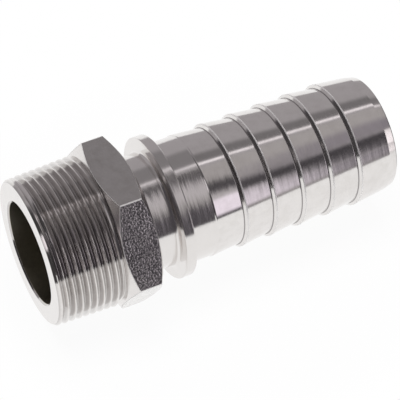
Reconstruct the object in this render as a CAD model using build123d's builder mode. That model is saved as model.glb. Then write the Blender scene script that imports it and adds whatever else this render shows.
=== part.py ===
"""Threaded hose tail, turned in one piece from hexagon bar.

The part lies along X on one flat of its hexagon. The origin is on the axis, at the end face
of the threaded end, and +X runs to the barbed end that a hose is pushed over. All sizes are
in millimetres.
"""

from build123d import *

import os
from math import cos, radians, tan

# Taper pipe thread, size 1 1/2, with its grooves cut as plain rings
thread_gauge_diameter = 47.803  # major diameter at the gauge plane
thread_gauge_length = 12.7  # from the end face to the gauge plane
thread_taper = 1 / 16  # growth of the diameter along the axis
thread_length = 20.9  # from the end face to the run-out groove
thread_pitch = 25.4 / 11  # eleven threads to the inch
thread_depth = 1.48
thread_root_flat = 0.38
thread_flank_angle = 27.5  # half of the 55 degree thread
thread_first_groove = 3.59  # from the end face to the middle of the first groove
thread_end_chamfer = 0.35
runout_width = 1.3  # the groove between the thread and the hexagon
runout_depth = 1.5

# Wrench hexagon
hexagon_sides = 6
hexagon_across_flats = 49.0
hexagon_length = 11.7
hexagon_face_margin = 0.4  # how far the chamfer circle lies inside the flats
hexagon_chamfer_angle = 30.0

# Neck between the hexagon and the collar
neck_diameter = 37.0
neck_length = 8.5
neck_corner_chamfer = 0.8  # breaks the corner between the neck and the collar

# Collar that the safety clamps of a hose hook behind
collar_diameter = 46.5
collar_length = 3.5
collar_edge_chamfer = 0.25

# Plain shank between the collar and the barbs
shank_diameter = 39.6
shank_length = 8.8
shank_corner_chamfer = 0.4  # breaks the corner between the collar and the shank

# Barbs: lands that fall towards the hose end, each followed by a sloping step
first_land_diameter = 40.2
barb_crest_diameter = 40.8
barb_root_diameter = 38.6
barb_count = 5
barb_pitch = 10.09
barb_step_length = 1.3
barb_crest_flat = 0.3  # narrow land that breaks the crest's edge

# Nose that leads the hose on
last_land_length = 10.85
nose_length = 2.8
nose_drop = 0.65  # fall of the radius along the nose
nose_edge_chamfer = 0.25

# Through bore
bore_diameter = 33.0
bore_mouth_chamfer = 0.55

# Places along the axis, each from the one before
hexagon_start = thread_length + runout_width
hexagon_end = hexagon_start + hexagon_length
collar_start = hexagon_end + neck_length
collar_end = collar_start + collar_length
barbs_start = collar_end + shank_length
last_crest = barbs_start + barb_count * barb_pitch
nose_start = last_crest + last_land_length
hose_end = nose_start + nose_length


def thread_radius(place):
    """Major radius of the thread at a place along the axis."""
    gauge_radius = thread_gauge_diameter / 2
    return gauge_radius + (place - thread_gauge_length) * thread_taper / 2


def thread_grooves():
    """Corners of the thread's grooves, as (place, radius)."""
    half_root = thread_root_flat / 2
    half_mouth = half_root + thread_depth * tan(radians(thread_flank_angle))
    room = thread_length - thread_first_groove - half_mouth
    corners = []
    for groove in range(int(room / thread_pitch) + 1):
        middle = thread_first_groove + groove * thread_pitch
        root_radius = thread_radius(middle) - thread_depth
        corners.append((middle - half_mouth, thread_radius(middle - half_mouth)))
        corners.append((middle - half_root, root_radius))
        corners.append((middle + half_root, root_radius))
        corners.append((middle + half_mouth, thread_radius(middle + half_mouth)))
    return corners


def threaded_end():
    """Corners of the threaded end and its run-out groove, as (place, radius)."""
    groove_radius = thread_radius(thread_length) - runout_depth
    return [
        (0, 0),
        (0, thread_radius(0) - thread_end_chamfer),
        (thread_end_chamfer, thread_radius(thread_end_chamfer)),
        *thread_grooves(),
        (thread_length, thread_radius(thread_length)),
        (thread_length + runout_width / 2, groove_radius),
        (hexagon_start, groove_radius),
    ]


def neck_and_collar():
    """Corners from inside the hexagon over the neck and the collar to the plain shank."""
    neck_radius = neck_diameter / 2
    collar_radius = collar_diameter / 2
    shank_radius = shank_diameter / 2
    return [
        (hexagon_start, neck_radius),
        (collar_start - neck_corner_chamfer, neck_radius),
        (collar_start, neck_radius + neck_corner_chamfer),
        (collar_start, collar_radius - collar_edge_chamfer),
        (collar_start + collar_edge_chamfer, collar_radius),
        (collar_end - collar_edge_chamfer, collar_radius),
        (collar_end, collar_radius - collar_edge_chamfer),
        (collar_end, shank_radius + shank_corner_chamfer),
        (collar_end + shank_corner_chamfer, shank_radius),
    ]


def barbed_tail():
    """Corners of the shank's edge, the barbs and the nose."""
    crest_radius = barb_crest_diameter / 2
    root_radius = barb_root_diameter / 2
    step_up = (first_land_diameter - shank_diameter) / 2
    corners = [
        (barbs_start - step_up, shank_diameter / 2),
        (barbs_start, first_land_diameter / 2),
    ]
    for barb in range(1, barb_count + 1):
        crest = barbs_start + barb * barb_pitch
        corners.append((crest - barb_step_length, root_radius))
        corners.append((crest, crest_radius))
        corners.append((crest + barb_crest_flat, crest_radius))
    land_length = barb_pitch - barb_step_length - barb_crest_flat
    land_slope = (crest_radius - root_radius) / land_length
    nose_radius = crest_radius - land_slope * (last_land_length - barb_crest_flat)
    end_radius = nose_radius - nose_drop
    corners.append((nose_start, nose_radius))
    corners.append((hose_end - nose_edge_chamfer, end_radius))
    corners.append((hose_end, end_radius - nose_edge_chamfer))
    corners.append((hose_end, 0))
    return corners


# Hexagon, with both faces chamfered to circles just inside its flats
with BuildPart() as hexagon:
    with BuildSketch(Plane.YZ.offset(hexagon_start)):
        RegularPolygon(hexagon_across_flats / 2, hexagon_sides, major_radius=False)
    extrude(amount=hexagon_length)
    with BuildSketch(Plane.XZ):
        with BuildLine():
            face_radius = hexagon_across_flats / 2 - hexagon_face_margin
            corner_radius = hexagon_across_flats / 2 / cos(radians(180 / hexagon_sides))
            chamfer_length = (corner_radius - face_radius) * tan(radians(hexagon_chamfer_angle))
            Polyline(
                (hexagon_start, 0),
                (hexagon_start, face_radius),
                (hexagon_start + chamfer_length, corner_radius),
                (hexagon_end - chamfer_length, corner_radius),
                (hexagon_end, face_radius),
                (hexagon_end, 0),
                close=True,
            )
        make_face()
    revolve(axis=Axis.X, mode=Mode.INTERSECT)

with BuildPart() as hose_tail:
    # Everything that is round, turned from one outline
    outline = threaded_end() + neck_and_collar() + barbed_tail()
    with BuildSketch(Plane.XZ):
        with BuildLine():
            Polyline(*outline, close=True)
        make_face()
    revolve(axis=Axis.X)
    add(hexagon.part)

    # Through bore, with its mouths broken
    with Locations(Plane.YZ):
        Hole(bore_diameter / 2)
    mouths = hose_tail.edges().filter_by(GeomType.CIRCLE).filter_by(
        lambda edge: abs(edge.radius - bore_diameter / 2) < 1e-4
    )
    chamfer(mouths, bore_mouth_chamfer)

hose_tail.part.label = "hose_tail"
os.makedirs("parts", exist_ok=True)
export_step(hose_tail.part, "parts/hose_tail.step")
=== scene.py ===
"""A stainless steel hose barb tail with a taper pipe thread, a hexagon and a collar."""

import logging
import math
from dataclasses import dataclass, field
from enum import Enum
from typing import Iterator, Sequence

import bmesh
import bpy
from mathutils import Matrix, Vector


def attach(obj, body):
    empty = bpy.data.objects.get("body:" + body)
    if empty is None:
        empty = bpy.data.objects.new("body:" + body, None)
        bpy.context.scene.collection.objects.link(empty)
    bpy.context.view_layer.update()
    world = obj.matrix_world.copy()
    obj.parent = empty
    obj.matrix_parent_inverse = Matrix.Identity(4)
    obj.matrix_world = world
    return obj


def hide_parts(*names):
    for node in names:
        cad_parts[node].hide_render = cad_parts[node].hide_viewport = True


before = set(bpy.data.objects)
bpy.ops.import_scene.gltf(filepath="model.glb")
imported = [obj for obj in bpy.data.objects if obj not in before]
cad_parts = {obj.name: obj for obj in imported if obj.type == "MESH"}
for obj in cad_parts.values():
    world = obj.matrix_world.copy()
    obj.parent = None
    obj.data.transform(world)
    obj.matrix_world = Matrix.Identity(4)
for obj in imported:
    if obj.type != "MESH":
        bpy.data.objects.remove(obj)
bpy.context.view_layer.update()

Span = tuple[float, float]
Colour = tuple[float, float, float]
Rgba = tuple[float, float, float, float]

MM = 0.001
TURN = 2.0 * math.pi
AXIS = Vector((1.0, 0.0, 0.0))
WHITE: Rgba = (1.0, 1.0, 1.0, 1.0)
PLAIN: Colour = (1.0, 0.95, 0.98)
LAVENDER: Colour = (1.0, 0.92, 1.02)
log = logging.getLogger("hose_barb_tail")


class Zone(Enum):
    """The differently finished zones of the tail, in the order of its material slots."""

    TURNED = 0
    THREAD = 1
    FLATS = 2
    CHAMFERS = 3
    SHANK = 4
    BARBS = 5
    BORE = 6
    # painted shade: the flats that face partly upwards, with the pits of their grain painted dark
    ROUGH_FLATS = 7
    # painted highlight: bright bands along the hexagon's edges
    EDGES = 8
    # painted highlight: bright bands on the barbs' crests
    CRESTS = 9
    # painted shade: dark bands in the barbs' roots
    ROOTS = 10


class Socket:
    """The output of a shader node, which takes part in Python arithmetic."""

    def __init__(self, graph: "Graph", link: bpy.types.NodeSocket | None) -> None:
        """Wraps an output socket and keeps the graph that new nodes go into."""
        self.graph = graph
        self.link = link

    def _math(self, operation: str, *values: "Socket | float") -> "Socket":
        """Adds a Math node with this operation and these inputs, in order."""
        return self.graph.node("ShaderNodeMath", {"operation": operation}, dict(enumerate(values)))

    def __add__(self, other: "Socket | float") -> "Socket":
        """self + other."""
        return self._math("ADD", self, other)

    def __radd__(self, other: float) -> "Socket":
        """other + self."""
        return self._math("ADD", other, self)

    def __sub__(self, other: "Socket | float") -> "Socket":
        """self - other."""
        return self._math("SUBTRACT", self, other)

    def __rsub__(self, other: float) -> "Socket":
        """other - self."""
        return self._math("SUBTRACT", other, self)

    def __mul__(self, other: "Socket | float") -> "Socket":
        """self * other."""
        return self._math("MULTIPLY", self, other)

    def __rmul__(self, other: float) -> "Socket":
        """other * self."""
        return self._math("MULTIPLY", other, self)

    def __truediv__(self, other: "Socket | float") -> "Socket":
        """self / other."""
        return self._math("DIVIDE", self, other)

    def __rtruediv__(self, other: float) -> "Socket":
        """other / self."""
        return self._math("DIVIDE", other, self)

    def __pow__(self, other: float) -> "Socket":
        """self to a power."""
        return self._math("POWER", self, other)

    def larger(self, other: "Socket | float") -> "Socket":
        """The larger of two values."""
        return self._math("MAXIMUM", self, other)

    def rise(self, low: float, high: float) -> "Socket":
        """A smooth step from 0 at low to 1 at high.

        Args:
            low: The value at which the step starts.
            high: The value at which it ends.

        Returns:
            The step, between 0 and 1.
        """
        return self.graph.node(
            "ShaderNodeMapRange",
            {"interpolation_type": "SMOOTHSTEP", "clamp": True},
            {"Value": self, "From Min": low, "From Max": high, "To Min": 0.0, "To Max": 1.0},
        )

    def span(self, low: float, high: float, soft: float) -> "Socket":
        """1 between low and high and 0 outside, with edges that are soft wide."""
        half = soft / 2.0
        return self.rise(low - half, low + half) * (1.0 - self.rise(high - half, high + half))


class Graph:
    """A node tree under construction."""

    def __init__(self, tree: bpy.types.NodeTree) -> None:
        """Takes over a material's or world's node tree, and clears it."""
        self.tree = tree
        tree.nodes.clear()

    def node(
        self,
        kind: str,
        settings: dict[str, object] | None = None,
        values: dict[str | int, object] | None = None,
        output: str | int = 0,
    ) -> Socket:
        """Adds a node, sets it up and links it.

        Args:
            kind: The node's type.
            settings: Its own settings, set before its sockets.
            values: What goes into its sockets: sockets, numbers or tuples.
            output: The output that is wanted.

        Returns:
            The wrapped output, which is empty for a node that has none.
        """
        made = self.tree.nodes.new(kind)
        for name, value in (settings or {}).items():
            setattr(made, name, value)
        for name, value in (values or {}).items():
            if isinstance(value, Socket):
                self.tree.links.new(value.link, made.inputs[name])
            else:
                made.inputs[name].default_value = value
        return Socket(self, made.outputs[output] if len(made.outputs) else None)

    def mix(self, factor: Socket | float, first: Socket | Rgba, second: Socket | Rgba) -> Socket:
        """Blends two colours.

        Args:
            factor: 0 gives the first and 1 the second.
            first: The first colour.
            second: The second colour.

        Returns:
            The blended colour.
        """
        factor_in, first_in, second_in, colour_out = 0, 6, 7, 2
        return self.node(
            "ShaderNodeMix",
            {"data_type": "RGBA", "blend_type": "MIX"},
            {factor_in: factor, first_in: first, second_in: second},
            colour_out,
        )

    def noise(self, place: Socket, scale: float, detail: float, rough: float = 0.5) -> Socket:
        """Fractal noise between about 0.2 and 0.8.

        Args:
            place: The coordinates.
            scale: Cells per unit of them.
            detail: The number of finer layers.
            rough: How strong the finer layers are.

        Returns:
            The noise.
        """
        return self.node(
            "ShaderNodeTexNoise",
            {},
            {"Vector": place, "Scale": scale, "Detail": detail, "Roughness": rough},
        )

    def vector(self, x: Socket | float, y: Socket | float, z: Socket | float) -> Socket:
        """Three values as one vector."""
        return self.node("ShaderNodeCombineXYZ", {}, {0: x, 1: y, 2: z})

    def parts(self, vector: Socket) -> tuple[Socket, Socket, Socket]:
        """A vector as its three values."""
        split = self.node("ShaderNodeSeparateXYZ", {}, {0: vector}).link.node
        return tuple(Socket(self, output) for output in split.outputs)


def opaque(colour: Colour, level: float = 1.0) -> Rgba:
    """A colour at a level, with full alpha."""
    return (*(level * part for part in colour), 1.0)


def whole(mesh: bmesh.types.BMesh) -> list[object]:
    """Every vertex, edge and face of a mesh."""
    return mesh.verts[:] + mesh.edges[:] + mesh.faces[:]


def finished(mesh: bmesh.types.BMesh, name: str) -> bpy.types.Mesh:
    """Turns a bmesh into mesh data, and frees it.

    Args:
        mesh: The bmesh.
        name: The name of the data.

    Returns:
        The mesh data.
    """
    data = bpy.data.meshes.new(name)
    mesh.to_mesh(data)
    mesh.free()
    return data


def linked(name: str, data: bpy.types.ID) -> bpy.types.Object:
    """Makes an object at the origin and links it to the scene.

    Args:
        name: The object's name.
        data: Its mesh, lamp or camera.

    Returns:
        The object.
    """
    made = bpy.data.objects.new(name, data)
    bpy.context.scene.collection.objects.link(made)
    return made


@dataclass(frozen=True)
class Corner:
    """A corner of a turned outline: its place on the axis, radius and rounding, in millimetres."""

    place: float
    radius: float
    rounding: float = 0.0


def round_corners(
    mesh: bmesh.types.BMesh, corners: list[bmesh.types.BMVert], offset: float, segments: int
) -> None:
    """Rounds corners of an outline.

    Args:
        mesh: The mesh that holds the outline.
        corners: The corners.
        offset: How far from each corner its rounding starts.
        segments: The number of chords in each rounding.
    """
    bmesh.ops.bevel(
        mesh, geom=corners, offset=offset, offset_type="OFFSET", affect="VERTICES",
        segments=segments, profile=0.5, material=-1,
    )


def keep_runs_straight(mesh: bmesh.types.BMesh, near: float, times: float) -> None:
    """Splits long runs of an outline near both ends, so that smooth shading keeps them straight.

    Args:
        mesh: The mesh that holds nothing but the outline.
        near: The distance of the new points from the run's ends.
        times: A run is long if it measures more than this many times that distance.
    """
    for edge in list(mesh.edges):
        length = edge.calc_length()
        if length > times * near:
            start, end = edge.verts
            middle = bmesh.utils.edge_split(edge, start, near / length)[1]
            rest = next(e for e in middle.link_edges if start not in e.verts)
            bmesh.utils.edge_split(rest, end, near / (length - near))


@dataclass
class TaperThread:
    """The taper pipe thread. Lengths are in millimetres.

    Attributes:
        pitch: The climb in a turn.
        gauge_radius: The radius over the crests at the gauge plane.
        gauge_length: The distance of that plane from the threaded end.
        slope: The growth of the radius along the axis.
        start: Where the helix starts, from the threaded end.
        end: Where it ends.
        full_depth_at: Where its grooves reach their full depth.
        flank_angle: Half of the angle between two flanks, in degrees.
        truncation: The sharp thread's height over what its crests and roots each lose of it.
        phase: The place of a crest at the top.
        rounding_radius: The radius of the crests and roots.
        rounding_segments: The chords in each of them.
        support: The distance of the extra rings that keep the flanks straight.
        long_run: The number of those distances past which a flank gets them.
        spare_turns: The turns past each end that are trimmed off again.
        merge: The distance at which two points become one.
        tolerance: How near to a cutting plane a point counts as on it.
    """

    pitch: float = 2.309
    gauge_radius: float = 23.9015
    gauge_length: float = 12.7
    slope: float = 1.0 / 32.0
    start: float = 1.0
    end: float = 20.9
    full_depth_at: float = 2.6
    flank_angle: float = 27.5
    truncation: float = 6.0
    phase: float = 2.431
    rounding_radius: float = 0.24
    rounding_segments: int = 4
    support: float = 0.05
    long_run: float = 4.0
    spare_turns: int = 2
    merge: float = 0.002
    tolerance: float = 1e-5

    def surface(self, place: float) -> float:
        """The radius over the crests, at a distance from the threaded end."""
        return self.gauge_radius + (place - self.gauge_length) * self.slope

    def profile(self, mesh: bmesh.types.BMesh) -> None:
        """Draws the rounded zigzag of crests and roots at the top, as if there were no taper.

        Args:
            mesh: The empty mesh.
        """
        lean = math.tan(math.radians(self.flank_angle))
        height = 0.5 * self.pitch / lean
        crest_radius = self.gauge_radius + height / self.truncation
        first = math.floor((self.start - self.phase) / self.pitch) - self.spare_turns
        last = math.ceil((self.end - self.phase) / self.pitch) + self.spare_turns
        points = []
        for half_turn in range(first * 2, last * 2 + 1):
            radius = crest_radius - (height if half_turn % 2 else 0.0)
            place = self.phase + 0.5 * half_turn * self.pitch
            points.append(mesh.verts.new((place, 0.0, radius)))
        for pair in zip(points, points[1:]):
            mesh.edges.new(pair)
        round_corners(mesh, points[1:-1], self.rounding_radius / lean, self.rounding_segments)
        keep_runs_straight(mesh, self.support, self.long_run)

    def build(self, mesh: bmesh.types.BMesh, steps: int) -> None:
        """Cuts the thread as one helical sweep, tapers it and trims its ends square.

        Args:
            mesh: The empty mesh.
            steps: The number of steps in a turn.
        """
        self.profile(mesh)
        bmesh.ops.spin(
            mesh, geom=whole(mesh), cent=(0, 0, 0), axis=AXIS, dvec=(self.pitch / steps, 0, 0),
            angle=TURN, steps=steps, use_merge=False,
        )
        bmesh.ops.remove_doubles(mesh, verts=mesh.verts[:], dist=self.merge)
        for vert in mesh.verts:
            radius = math.hypot(vert.co.y, vert.co.z)
            fade = (vert.co.x - self.start) / (self.full_depth_at - self.start)
            depth = (self.gauge_radius - radius) * min(max(fade, 0.0), 1.0)
            scale = (self.surface(vert.co.x) - depth) / radius
            vert.co.y *= scale
            vert.co.z *= scale
        for place, outer in ((self.start, False), (self.end, True)):
            bmesh.ops.bisect_plane(
                mesh, geom=whole(mesh), dist=self.tolerance, plane_co=(place, 0, 0),
                plane_no=AXIS, clear_inner=not outer, clear_outer=outer,
            )


@dataclass(frozen=True)
class SteelFinish:
    """A machined stainless steel surface, with marks that run round the turning axis.

    Lengths are in millimetres, and a range is where a smooth step starts and ends.

    Attributes:
        name: The material's name.
        colour: The clean metal's colour.
        metallic: 1 for bright metal, less on the bands with a painted highlight, so that they
            catch light diffusely as well.
        roughness: The middle of its roughness.
        roughness_spread: How far marks and stains carry the roughness from there.
        smoothest: The least roughness.
        marks: The tool marks in a millimetre.
        mark_depth: Their depth.
        mark_squeeze: The share of them that a millimetre across the axis has, so that they are
            drawn out round it.
        waves: The depth of the slow waves under them.
        waves_in_mm: The waves in a millimetre.
        wave_squeeze: The share of these that a millimetre across the axis has.
        grain: The size of a fine random texture.
        grain_depth: Its depth.
        grain_layers: Its finer layers.
        pit_shade: How strongly the grain's low places are painted darker, from 0 to 1: painted
            shade.
        pit_shade_colour: The colour of that painted shade.
        pit_shade_range: The heights between which it fades out.
        thread: The thread whose grooves get painted shade, if there is one.
        groove_shade: How strongly the grooves are painted darker, from 0 to 1: painted shade.
        groove_shade_colour: The colour of that painted shade.
        groove_shade_range: The depths under the crests between which it comes in.
        stain: How strong the broad stains are, from 0 to 1.
        stain_colour: Their colour.
        stain_size: Their size.
        stain_range: The heights of their noise between which they come in.
    """

    name: str
    colour: Colour = (0.77, 0.745, 0.73)
    metallic: float = 1.0
    roughness: float = 0.12
    roughness_spread: float = 0.05
    smoothest: float = 0.03
    marks: float = 6.0
    mark_depth: float = 0.0005
    mark_squeeze: float = 0.02
    waves: float = 0.0
    waves_in_mm: float = 0.8
    wave_squeeze: float = 0.1
    grain: float = 0.3
    grain_depth: float = 0.0
    grain_layers: float = 2.0
    pit_shade: float = 0.0
    pit_shade_colour: Colour = (0.10, 0.095, 0.10)
    pit_shade_range: Span = (0.38, 0.62)
    thread: TaperThread | None = None
    groove_shade: float = 0.0
    groove_shade_colour: Colour = (0.40, 0.385, 0.38)
    groove_shade_range: Span = (0.03, 0.6)
    stain: float = 0.06
    stain_colour: Colour = (0.50, 0.47, 0.44)
    stain_size: float = 4.0
    stain_range: Span = (0.35, 0.75)

    def build(self) -> bpy.types.Material:
        """Makes the material.

        Returns:
            The new material.
        """
        made = bpy.data.materials.new(self.name)
        made.use_nodes = True
        g = Graph(made.node_tree)
        place = g.node("ShaderNodeTexCoord", {}, {}, "Object")
        x, y, z = g.parts(place)
        radius = (y * y + z * z) ** 0.5

        def drawn_round(squeeze: float) -> Socket:
            """Places in millimetres, squeezed across the axis to draw a noise out round it."""
            return g.vector((x + radius) / MM, y / MM * squeeze, z / MM * squeeze)

        marks = g.noise(drawn_round(self.mark_squeeze), self.marks, detail=3.0, rough=0.6)
        swell = g.noise(drawn_round(self.wave_squeeze), self.waves_in_mm, detail=1.0)
        fine = g.noise(place, 1.0 / (self.grain * MM), self.grain_layers, rough=0.6)
        broad = g.noise(place, 1.0 / (self.stain_size * MM), detail=4.0, rough=0.6)
        height = marks * (self.mark_depth * MM) + fine * (self.grain_depth * MM)
        height = height + swell * (self.waves * MM)
        bump = g.node("ShaderNodeBump", {}, {"Strength": 1.0, "Distance": 1.0, "Height": height})
        stained = broad.rise(*self.stain_range) * self.stain
        colour = g.mix(stained, opaque(self.colour), opaque(self.stain_colour))
        # the grain's low places are painted darker where the finish has pits: painted shade
        if self.pit_shade:
            pit_shade_mask = (1.0 - fine.rise(*self.pit_shade_range)) * self.pit_shade
            colour = g.mix(pit_shade_mask, colour, opaque(self.pit_shade_colour))
        # the thread's grooves are painted darker the deeper they lie under the crests: painted
        # shade
        if self.thread:
            crests = x * self.thread.slope + self.thread.surface(0.0) * MM
            groove_shade_mask = ((crests - radius) / MM).rise(*self.groove_shade_range) * self.groove_shade
            colour = g.mix(groove_shade_mask, colour, opaque(self.groove_shade_colour))
        rough = self.roughness + (marks - 0.5) * self.roughness_spread * 2.0
        rough = rough + (broad - 0.5) * self.roughness_spread
        shader = g.node(
            "ShaderNodeBsdfPrincipled",
            {},
            {
                "Base Color": colour,
                "Metallic": self.metallic,
                "Roughness": rough.larger(self.smoothest),
                "Normal": bump,
            },
        )
        g.node("ShaderNodeOutputMaterial", {}, {"Surface": shader})
        return made


@dataclass
class TurnedTail:
    """The whole one-piece fitting. Lengths are in millimetres, along +X from the threaded end."""

    thread: TaperThread = field(default_factory=TaperThread)
    end_chamfer: float = 0.8
    end_chamfer_depth: float = 0.65
    end_round: float = 0.15
    groove_radius: float = 22.5
    groove_entry: float = 0.1  # how far the groove's first ring stands off the thread's end
    groove_side: float = 0.3  # how far the groove's bottom starts from the thread's end
    groove_round: float = 0.2

    flats: int = 6
    across_flats: float = 49.0
    corner_radius: float = 28.2
    hexagon_start: float = 22.2
    hexagon_end: float = 33.9
    hexagon_face_radius: float = 24.1
    hexagon_chamfer_angle: float = 30.0

    neck_radius: float = 18.5
    neck_fillet: float = 1.0
    collar_start: float = 42.4
    collar_end: float = 45.9
    collar_radius: float = 23.25
    collar_edge: float = 0.35
    shank_radius: float = 19.8
    shank_fillet: float = 0.5

    barbs_start: float = 54.7
    first_land_radius: float = 20.1
    first_land_round: float = 0.3
    crest_radius: float = 20.4
    root_radius: float = 19.3
    barb_count: int = 5
    barb_pitch: float = 10.09
    step_length: float = 0.85
    crest_flat: float = 0.2
    crest_round: float = 0.25
    root_round: float = 0.4
    nose_start: float = 116.0
    nose_radius: float = 19.2
    nose_drop: float = 0.65
    nose_round: float = 0.35
    hose_end: float = 118.8

    bore_radius: float = 16.5
    bore_mouth: float = 0.55
    edge_round: float = 0.1  # of the hexagon's faces and the bore's mouths

    edge_highlight_band: float = 0.23  # width of the bands with a painted highlight along the hexagon's edges, measured square to the flats
    root_shade_band: Span = (-1.0, -0.45)  # where each barb's root gets painted shade, measured from its crest
    crest_highlight_band: Span = (-0.12, 0.35)  # where each barb's crest gets a painted highlight, measured from the crest
    shade_pits_facing: Span = (0.1, 0.9)  # how far up a flat faces, as its normal's z, for its pits to get painted shade
    level: float = 0.1  # a face whose normal's x is smaller runs along the axis
    inward: float = -0.5  # a face that faces the axis more than this may be the bore's
    bore_margin: float = 0.2  # how far past the bore's radius its faces may lie
    thread_margin: float = 0.1  # how far before the hexagon the thread's zone ends
    near: float = 0.01  # how far from a border a face counts as on it

    steps: int = 232
    round_segments: int = 4
    support: float = 0.08  # distance of the extra rings that keep the runs straight
    long_run: float = 6.0  # number of those distances past which a run gets them
    merge: float = 0.0005
    tolerance: float = 1e-4  # how near to a cutting plane a point counts as on it
    sharp_angle: float = 28.0  # in degrees

    def barbs(self) -> Iterator[Corner]:
        """The shank's and the barbs' outline.

        Yields:
            Its corners, from the shank to the nose.
        """
        step_up = self.first_land_radius - self.shank_radius
        yield Corner(self.barbs_start - step_up, self.shank_radius)
        yield Corner(self.barbs_start, self.first_land_radius, self.first_land_round)
        for number in range(1, self.barb_count + 1):
            crest = self.barbs_start + number * self.barb_pitch
            yield Corner(crest - self.step_length, self.root_radius, self.root_round)
            yield Corner(crest, self.crest_radius, self.crest_round)
            yield Corner(crest + self.crest_flat, self.crest_radius, self.crest_round)
        yield Corner(self.nose_start, self.nose_radius, self.nose_round)

    def outline(self) -> list[Corner]:
        """The open outline that is turned, from the thread's run-out right round to its start.

        Returns:
            The corners in order.
        """
        slant = math.tan(math.radians(self.hexagon_chamfer_angle))
        chamfer = (self.corner_radius - self.hexagon_face_radius) * slant
        thread = self.thread
        mouth_radius = self.bore_radius + self.bore_mouth
        end_radius = thread.surface(0.0) - self.end_chamfer_depth
        return [
            Corner(thread.end + self.groove_entry, self.groove_radius + self.groove_entry),
            Corner(thread.end + self.groove_side, self.groove_radius),
            Corner(self.hexagon_start, self.groove_radius, self.groove_round),
            Corner(self.hexagon_start, self.hexagon_face_radius, self.edge_round),
            Corner(self.hexagon_start + chamfer, self.corner_radius),
            Corner(self.hexagon_end - chamfer, self.corner_radius),
            Corner(self.hexagon_end, self.hexagon_face_radius, self.edge_round),
            Corner(self.hexagon_end, self.neck_radius, self.neck_fillet),
            Corner(self.collar_start, self.neck_radius, self.neck_fillet),
            Corner(self.collar_start, self.collar_radius, self.collar_edge),
            Corner(self.collar_end, self.collar_radius, self.collar_edge),
            Corner(self.collar_end, self.shank_radius, self.shank_fillet),
            *self.barbs(),
            Corner(self.hose_end, self.nose_radius - self.nose_drop, self.nose_round),
            Corner(self.hose_end, mouth_radius, self.edge_round),
            Corner(self.hose_end - self.bore_mouth, self.bore_radius, self.edge_round),
            Corner(self.bore_mouth, self.bore_radius, self.edge_round),
            Corner(0.0, mouth_radius, self.edge_round),
            Corner(0.0, end_radius, self.end_round),
            Corner(self.end_chamfer, thread.surface(self.end_chamfer)),
        ]

    def turn(self, mesh: bmesh.types.BMesh) -> None:
        """Draws the outline, rounds its corners, keeps its long runs straight and spins it.

        Args:
            mesh: The empty mesh.
        """
        corners = self.outline()
        points = [mesh.verts.new((c.place, 0.0, c.radius)) for c in corners]
        for pair in zip(points, points[1:]):
            mesh.edges.new(pair)
        for before, here, after, vert in zip(corners, corners[1:], corners[2:], points[1:]):
            if here.rounding:
                a = Vector((here.place - before.place, here.radius - before.radius))
                b = Vector((after.place - here.place, after.radius - here.radius))
                offset = here.rounding * math.tan(a.angle(b) / 2.0)
                round_corners(mesh, [vert], offset, self.round_segments)
        keep_runs_straight(mesh, self.support, self.long_run)
        bmesh.ops.spin(
            mesh, geom=whole(mesh), cent=(0, 0, 0), axis=AXIS, dvec=(0, 0, 0), angle=TURN,
            steps=self.steps, use_merge=True,
        )

    def outward(self) -> list[Vector]:
        """The directions in which the wrench flats face."""
        angles = [TURN * number / self.flats for number in range(self.flats)]
        return [Vector((0.0, math.sin(angle), math.cos(angle))) for angle in angles]

    def cut_flats(self, mesh: bmesh.types.BMesh) -> None:
        """Cuts the wrench flats, closes them and marks off the narrow bands along their edges.

        Args:
            mesh: The turned mesh.
        """
        half = self.across_flats / 2.0
        for outward in self.outward():
            cut = bmesh.ops.bisect_plane(
                mesh, geom=whole(mesh), dist=self.tolerance, plane_co=outward * half,
                plane_no=outward, clear_outer=True,
            )
            edges = [e for e in cut["geom_cut"] if isinstance(e, bmesh.types.BMEdge)]
            bmesh.ops.holes_fill(mesh, edges=[e for e in edges if e.is_boundary], sides=0)
        for outward in self.outward():
            bmesh.ops.bisect_plane(
                mesh, geom=whole(mesh), dist=self.tolerance,
                plane_co=outward * (half - self.edge_highlight_band), plane_no=outward,
            )

    def join_thread(self, mesh: bmesh.types.BMesh) -> None:
        """Adds the thread and bridges it to the rings on both sides of it.

        Args:
            mesh: The turned mesh with its two open rings.
        """
        rings = [e for e in mesh.edges if e.is_boundary]
        helix = bmesh.new()
        self.thread.build(helix, self.steps)
        scratch = finished(helix, "thread_scratch")
        before = set(mesh.edges)
        mesh.from_mesh(scratch)
        bpy.data.meshes.remove(scratch)
        ends = [e for e in mesh.edges if e not in before and e.is_boundary]
        middle = (self.thread.start + self.thread.end) / 2.0
        for low in (True, False):
            pair = [e for e in rings + ends if (e.verts[0].co.x < middle) == low]
            bmesh.ops.bridge_loops(mesh, edges=pair)

    def hexagon_zone(self, place: Vector, normal: Vector) -> Zone:
        """The finish that a face of the hexagon takes.

        Args:
            place: The face's middle, in millimetres.
            normal: The face's outward direction.

        Returns:
            Its zone.
        """
        flat = abs(normal.x) < self.level
        reaches = sorted(place.dot(outward) for outward in self.outward())
        next_flat = reaches[-2 if flat else -1]
        # a band along the flats' edges gets a painted highlight
        if next_flat > self.across_flats / 2.0 - self.edge_highlight_band:
            return Zone.EDGES
        if not flat:
            return Zone.CHAMFERS
        # flats that face partly upwards get painted shade in their pits
        low, high = self.shade_pits_facing
        return Zone.ROUGH_FLATS if low < normal.z < high else Zone.FLATS

    def barb_zone(self, along: float) -> Zone:
        """The finish that a face of the barbs takes.

        Args:
            along: The distance of the face's middle from the barbs' start, in millimetres.

        Returns:
            Its zone.
        """
        number = round(along / self.barb_pitch)
        past = along - number * self.barb_pitch
        if 1 <= number <= self.barb_count:
            # a band in each root gets painted shade
            if self.root_shade_band[0] < past < self.root_shade_band[1]:
                return Zone.ROOTS
            # a band at each crest gets a painted highlight
            if self.crest_highlight_band[0] < past < self.crest_highlight_band[1]:
                return Zone.CRESTS
        return Zone.BARBS

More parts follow.
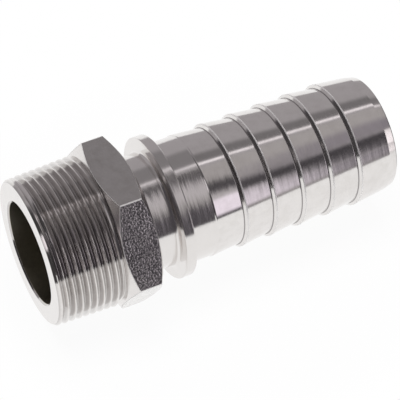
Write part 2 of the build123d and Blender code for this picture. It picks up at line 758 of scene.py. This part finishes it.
    def zone(self, place: Vector, normal: Vector) -> Zone:
        """The finish that a face takes.

        Args:
            place: The face's middle, in millimetres.
            normal: The face's outward direction.

        Returns:
            Its zone.
        """
        radius = math.hypot(place.y, place.z)
        facing = (normal.y * place.y + normal.z * place.z) / radius
        if facing < self.inward and radius < self.bore_radius + self.bore_margin:
            return Zone.BORE
        if place.x < self.hexagon_start - self.thread_margin:
            return Zone.THREAD if place.x > self.near else Zone.TURNED
        if place.x < self.hexagon_end - self.near and radius > self.hexagon_face_radius:
            return self.hexagon_zone(place, normal)
        if place.x < self.collar_end + self.near:
            return Zone.TURNED
        if place.x < self.barbs_start - self.near:
            return Zone.SHANK
        return self.barb_zone(place.x - self.barbs_start)

    def build(self, finishes: Sequence[bpy.types.Material]) -> bpy.types.Object:
        """Makes the piece.

        Args:
            finishes: One material for each zone, in the zones' order.

        Returns:
            The finished object.
        """
        mesh = bmesh.new()
        self.turn(mesh)
        self.join_thread(mesh)
        self.cut_flats(mesh)
        bmesh.ops.remove_doubles(mesh, verts=mesh.verts[:], dist=self.merge)
        bmesh.ops.recalc_face_normals(mesh, faces=mesh.faces[:])
        for face in mesh.faces:
            face.smooth = True
            face.material_index = self.zone(face.calc_center_median(), face.normal).value
        log.info(
            "turned tail: %d faces, %d open edges, volume %.0f mm3",
            len(mesh.faces),
            sum(1 for e in mesh.edges if not e.is_manifold),
            mesh.calc_volume(signed=True),
        )
        bmesh.ops.scale(mesh, vec=(MM, MM, MM), verts=mesh.verts[:])
        data = finished(mesh, "turned_tail")
        data.set_sharp_from_angle(angle=math.radians(self.sharp_angle))
        for finish in finishes:
            data.materials.append(finish)
        made = linked("turned_tail", data)
        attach(made, "root")
        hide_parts("hose_tail")
        return made


@dataclass(frozen=True)
class Card:
    """A soft-edged lighting card or flag round the object.

    Attributes:
        name: What it is called.
        around: Its span in degrees about the fitting's axis, from the front horizon (0) over the
            top (90) to the back (180).
        along: Its span in the direction's x.
        level: How bright it is, where white is 1.
        soft: The width of its soft edges in around.
        soft_along: The width of its soft edges in along.
        lean: How many degrees it drops for each unit of x.
        tint: Its colour at level 1.
    """

    name: str
    around: Span
    along: Span
    level: float
    soft: float
    soft_along: float
    lean: float = 0.0
    tint: Colour = PLAIN

    def lay(
        self, g: Graph, under: Socket | Rgba, around: Socket, along: Socket, pivot: float
    ) -> Socket:
        """Lays the card over what is behind it.

        Args:
            g: The world's graph.
            under: The colour behind the card.
            around: The direction's angle about the fitting's axis, in degrees.
            along: The direction's x.
            pivot: The x at which a leaning card stands where it says.

        Returns:
            The new colour.
        """
        leaning = around + (along - pivot) * self.lean if self.lean else around
        mask = leaning.span(*self.around, self.soft) * along.span(*self.along, self.soft_along)
        return g.mix(mask, under, opaque(self.tint, self.level))


@dataclass
class Studio:
    """The plain studio: a white floor, a soft lamp, a grey room and a few cards.

    Lengths are in metres and angles in degrees.

    Attributes:
        room: How bright the bare room is.
        room_tint: Its colour at level 1.
        pivot: The x at which leaning cards stand where they say.
        seam: The angles between which the count round the axis starts over, straight below.
        skirt: The directions' z between which the white below turns into the room.
        hose_far: The directions' x between which that white ends at the hose end.
        thread_far: The same at the threaded end, towards -X.
        floor_low: The floor's nearest left corner.
        floor_high: Its farthest right corner.
        floor_height: The height that the fitting rests at.
        floor_gap: The gap under it.
        floor_colour: The floor's colour under the lamp.
        floor_white: How much of the floor near the fitting is plain white, whatever its shadow.
        shade_middle: The x about which the shadow shows.
        shade_reach: The distances from there between which the floor turns all plain white.
        lamp_place: Where the lamp hangs.
        lamp_size: How wide it is.
        lamp_power: Its power in watts.
        cards: The cards and flags, each over the ones before it.
        windows: Bright cards over these and the white below.
    """

    room: float = 0.44
    room_tint: Colour = (1.0, 0.95, 0.95)
    pivot: float = 0.29
    seam: Span = (-90.001, -90.0)
    skirt: Span = (-0.15, -0.11)
    hose_far: Span = (0.71, 0.76)
    thread_far: Span = (0.62, 0.72)
    floor_low: Span = (-0.09, -0.25)
    floor_high: Span = (0.145, 0.18)
    floor_height: float = -0.0245
    floor_gap: float = 0.0002
    floor_colour: Colour = (0.9, 0.9, 0.9)
    floor_white: float = 0.95
    shade_middle: float = 0.06
    shade_reach: Span = (0.065, 0.085)
    lamp_place: tuple[float, float, float] = (0.0, 0.1, 1.3)
    lamp_size: float = 0.9
    lamp_power: float = 14.0
    cards: tuple[Card, ...] = (
        Card("front_flag", (-400, 32), (-2.0, 2.0), 0.08, 12.0, 0.1, 170.0, LAVENDER),
        Card("front_softbox", (45, 75), (-2.0, 0.56), 0.58, 14.0, 0.06, 170.0),
        Card("barb_flag_low", (-20, 14), (0.555, 0.70), 0.18, 12.0, 0.04, 0.0, LAVENDER),
        Card("barb_flag_middle", (14, 44), (0.555, 0.70), 0.07, 12.0, 0.04, 0.0, LAVENDER),
        Card("top_flag", (75, 97), (0.0, 0.72), 0.06, 12.0, 0.1, 190.0, LAVENDER),
        Card("barb_card_high", (44, 70), (0.555, 0.80), 0.29, 16.0, 0.05, 0.0, LAVENDER),
        Card("shank_strip", (-2, 29), (0.38, 0.53), 1.05, 8.0, 0.04, 0.0, LAVENDER),
        Card("shank_strip_end", (-2, 20), (0.53, 0.553), 0.80, 14.0, 0.02, 0.0, LAVENDER),
        Card("hose_end_flag", (-60, 190), (0.79, 2.0), 0.04, 6.0, 0.03),
        Card("thread_end_flag", (-400, 190), (-2.0, -0.80), 0.06, 6.0, 0.1),
        Card("back_wall", (95, 197), (-0.75, 0.75), 0.40, 6.0, 0.06),
        Card("back_flag", (105, 141), (-0.75, 0.38), 0.24, 12.0, 0.1),
        Card("back_flag_barbs", (105, 125), (0.38, 0.75), 0.20, 12.0, 0.1),
        Card("top_line_thread", (100, 105), (-0.75, 0.23), 0.65, 2.0, 0.06),
        Card("top_line_shank", (100, 105), (0.23, 0.38), 0.80, 2.0, 0.06),
        Card("top_line_barbs", (100, 105), (0.38, 0.75), 1.05, 2.0, 0.06),
    )
    windows: tuple[Card, ...] = (
        Card("groove_window_low", (-10, 10), (0.69, 0.74), 1.35, 6.0, 0.02),
        Card("groove_window_high", (10, 43), (0.71, 0.772), 1.4, 6.0, 0.02),
        Card("chamfer_window", (44, 84), (-0.945, -0.86), 1.2, 10.0, 0.03),
    )

    def world(self) -> None:
        """Sets up the world: the cards for reflections and light, and plain white behind all."""
        world = bpy.data.worlds.new("studio")
        bpy.context.scene.world = world
        world.use_nodes = True
        g = Graph(world.node_tree)
        x, y, z = g.parts(g.node("ShaderNodeTexCoord", {}, {}, "Generated"))
        around = g.node("ShaderNodeMath", {"operation": "ARCTAN2"}, {0: z, 1: y * -1.0})
        around = around * (360.0 / TURN)
        around = around + 360.0 * (1.0 - around.rise(*self.seam))
        colour: Socket | Rgba = opaque(self.room_tint, self.room)
        for card in self.cards:
            colour = card.lay(g, colour, around, x, self.pivot)
        far = x.rise(*self.hose_far).larger((x * -1.0).rise(*self.thread_far))
        white = 1.0 - z.rise(*self.skirt)
        colour = g.mix(white * (1.0 - far), colour, WHITE)
        for window in self.windows:
            colour = window.lay(g, colour, around, x, self.pivot)
        seen = g.node("ShaderNodeLightPath", {}, {}, "Is Camera Ray")
        colour = g.mix(seen, colour, WHITE)
        background = g.node("ShaderNodeBackground", {}, {"Color": colour, "Strength": 1.0})
        g.node("ShaderNodeOutputWorld", {}, {"Surface": background})

    def floor_material(self) -> bpy.types.Material:
        """Makes the floor's material: plain white to the camera and in reflections, with a shadow.

        Returns:
            The new material.
        """
        made = bpy.data.materials.new("white_floor")
        made.use_nodes = True
        g = Graph(made.node_tree)
        camera, glossy, through = (
            g.node("ShaderNodeLightPath", {}, {}, f"Is {ray} Ray")
            for ray in ("Camera", "Glossy", "Transmission")
        )
        x, y, _ = g.parts(g.node("ShaderNodeTexCoord", {}, {}, "Object"))
        away = ((x - self.shade_middle) ** 2.0 + y ** 2.0) ** 0.5
        plain = self.floor_white + (1.0 - self.floor_white) * away.rise(*self.shade_reach)
        factor = (camera * plain).larger(glossy).larger(through)
        matt = g.node("ShaderNodeBsdfDiffuse", {}, {"Color": opaque(self.floor_colour)})
        white = g.node("ShaderNodeEmission", {}, {"Color": WHITE, "Strength": 1.0})
        shader = g.node("ShaderNodeMixShader", {}, {0: factor, 1: matt, 2: white})
        g.node("ShaderNodeOutputMaterial", {}, {"Surface": shader})
        return made

    def floor(self) -> None:
        """Lays the pale floor under the fitting."""
        mesh = bmesh.new()
        bmesh.ops.create_grid(mesh, x_segments=1, y_segments=1, size=0.5)  # a metre square
        low, high = Vector((*self.floor_low, 0.0)), Vector((*self.floor_high, 0.0))
        height = Vector((0.0, 0.0, self.floor_height - self.floor_gap))
        bmesh.ops.scale(mesh, vec=high - low, verts=mesh.verts[:])
        bmesh.ops.translate(mesh, vec=(low + high) / 2.0 + height, verts=mesh.verts[:])
        data = finished(mesh, "studio_floor")
        data.materials.append(self.floor_material())
        made = linked("studio_floor", data)

    def lamp(self) -> None:
        """Hangs a broad soft lamp over the floor, which gives the fitting its soft shadow."""
        data = bpy.data.lights.new("soft_lamp", "AREA")
        data.shape = "DISK"
        data.size = self.lamp_size
        data.energy = self.lamp_power
        made = linked("soft_lamp", data)
        made.location = self.lamp_place
        made.visible_glossy = False

    def build(self) -> None:
        """Sets up the floor, the lamp and the world, and reports them."""
        self.floor()
        self.lamp()
        self.world()
        names = ", ".join(card.name for card in self.cards + self.windows)
        log.info("studio: floor, soft lamp and cards %s", names)


@dataclass
class Viewpoint:
    """The camera. Lengths are in metres, but for the lens and sensor, which are in millimetres."""

    place: tuple[float, float, float] = (-0.12241, -0.35058, 0.44598)
    right: tuple[float, float, float] = (0.89672, -0.44233, 0.01610)
    upward: tuple[float, float, float] = (0.32303, 0.67889, 0.65937)
    lens: float = 170.6
    sensor: float = 36.0
    shift: Span = (-0.0025, -0.00125)
    clip: Span = (0.01, 50.0)

    def build(self) -> None:
        """Makes the camera, makes it the scene's own and reports it."""
        data = bpy.data.cameras.new("camera")
        data.lens = self.lens
        data.sensor_width = self.sensor
        data.clip_start, data.clip_end = self.clip
        data.shift_x, data.shift_y = self.shift
        made = linked("camera", data)
        right, upward = Vector(self.right).normalized(), Vector(self.upward).normalized()
        turn = Matrix((right, upward, right.cross(upward))).transposed().to_4x4()
        made.matrix_world = Matrix.Translation(self.place) @ turn
        bpy.context.scene.camera = made
        log.info("camera: %.1f mm lens", self.lens)


def finishes(thread: TaperThread) -> list[bpy.types.Material]:
    """Makes the steel's finishes.

    Args:
        thread: The thread whose grooves get painted shade.

    Returns:
        One material for each zone, in the zones' order.
    """
    made = {
        Zone.TURNED: SteelFinish(
            "steel_turned", roughness=0.14, marks=4.0, mark_depth=0.010, waves=0.03,
        ),
        # the thread's grooves get painted shade, darker the deeper they lie
        Zone.THREAD: SteelFinish(
            "steel_thread", roughness=0.10, marks=5.0, mark_depth=0.012, stain=0.3,
            thread=thread, groove_shade=0.46,
        ),
        Zone.FLATS: SteelFinish(
            "steel_drawn", roughness=0.14, marks=2.0, mark_depth=0.0, grain=0.38,
            grain_layers=2.0, grain_depth=0.04, stain=0.35,
        ),
        Zone.CHAMFERS: SteelFinish("steel_chamfer", roughness=0.2, marks=5.0, mark_depth=0.02),
        Zone.SHANK: SteelFinish(
            "steel_coarse", roughness=0.13, marks=2.4, mark_depth=0.013, waves=0.015,
        ),
        Zone.BARBS: SteelFinish(
            "steel_fine", roughness=0.11, marks=3.5, mark_depth=0.0035, waves=0.010,
            stain=0.18, stain_size=3.0,
        ),
        Zone.BORE: SteelFinish(
            "steel_bore", colour=(0.48, 0.45, 0.37), roughness=0.36, marks=3.0, mark_depth=0.02,
            stain=0.6, stain_colour=(0.24, 0.22, 0.17), stain_size=7.0,
        ),
        # flats facing partly upwards: real grain bumps, with painted shade in its pits
        Zone.ROUGH_FLATS: SteelFinish(
            "steel_pitted_painted_shade", roughness=0.2, marks=2.0, mark_depth=0.0, grain=0.55,
            grain_layers=1.0, grain_depth=0.08, pit_shade=0.7, stain=0.25,
        ),
        # painted highlight: bright, partly diffuse bands along the hexagon's edges
        Zone.EDGES: SteelFinish(
            "steel_edge_painted_highlight", colour=(0.95, 0.93, 0.92), metallic=0.6, roughness=0.5,
        ),
        # painted highlight: bright, partly diffuse bands on the barbs' crests
        Zone.CRESTS: SteelFinish(
            "steel_crest_painted_highlight", colour=(0.90, 0.88, 0.87), metallic=0.75, roughness=0.42,
        ),
        # painted shade: dark bands in the barbs' roots
        Zone.ROOTS: SteelFinish("steel_root_painted_shade", colour=(0.34, 0.32, 0.32), roughness=0.35),
    }
    return [made[zone].build() for zone in Zone]


def main() -> None:
    """Builds the scene in order and reports each piece."""
    logging.basicConfig(level=logging.INFO, format="%(name)s: %(message)s")
    bpy.context.scene.view_settings.view_transform = "Standard"
    Viewpoint().build()
    Studio().build()
    fitting = TurnedTail()
    tail = fitting.build(finishes(fitting.thread))
    triangles = sum(len(face.vertices) - 2 for face in tail.data.polygons)
    log.info("piece %s: %d triangles", tail.name, triangles)


if __name__ == "__main__":
    main()
